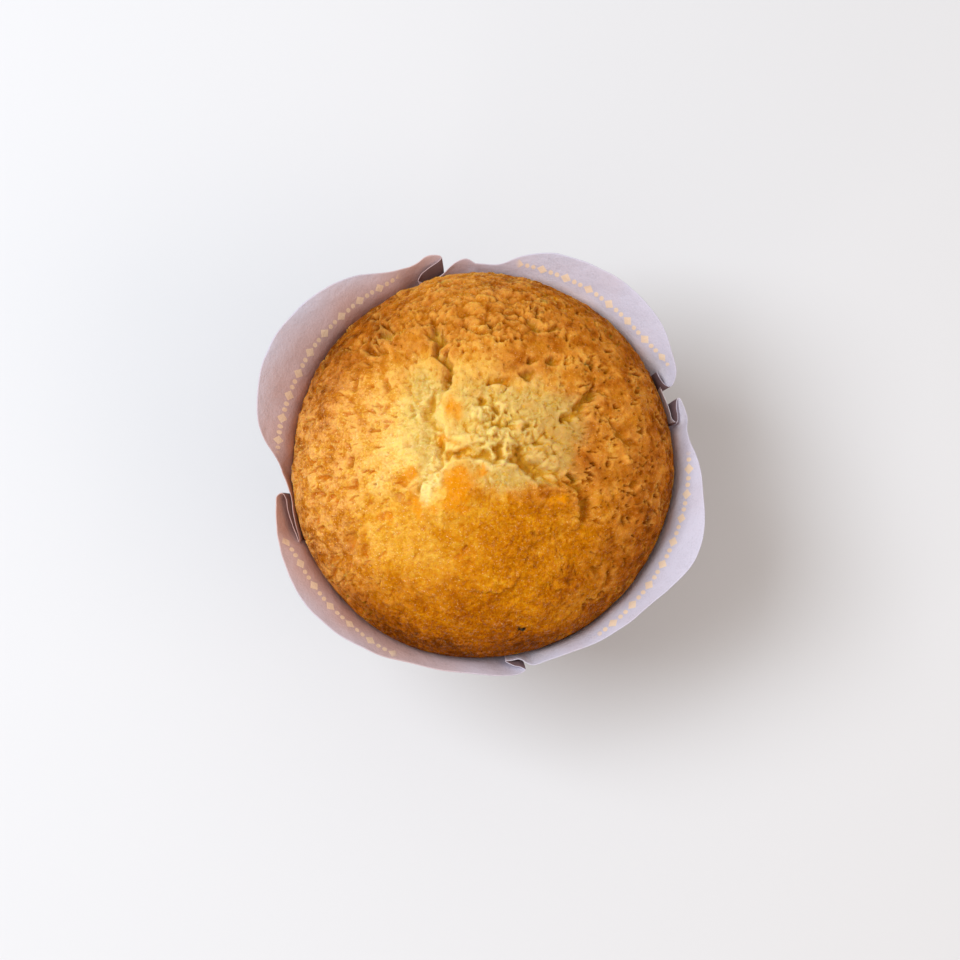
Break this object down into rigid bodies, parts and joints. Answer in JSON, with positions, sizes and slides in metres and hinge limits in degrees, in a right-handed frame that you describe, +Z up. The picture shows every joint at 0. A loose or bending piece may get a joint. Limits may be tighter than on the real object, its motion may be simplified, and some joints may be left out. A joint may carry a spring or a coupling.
{
  "type": "muffin",
  "caption": "Domed golden muffin with a torn, crumbly crown, baked in a tulip case: a sheet of folded paper whose petals lean out round the dome.",
  "frame": {"origin": "centre of the case's flat base, on the surface that it stands on", "axes": "+Z up through the crown; seen from above with +X to the right, +Y is the far side of the picture"},
  "size_m": [0.0945, 0.091, 0.0775],
  "materials": {
    "cake": "baked crust, satin, with an open pale crumb at the tears",
    "paper": "matt baking paper, pale mauve inside and plum brown outside"
  },
  "bodies": {
    "root": {"cake": "cake", "paper_case": "paper"}
  },
  "joints": []
}
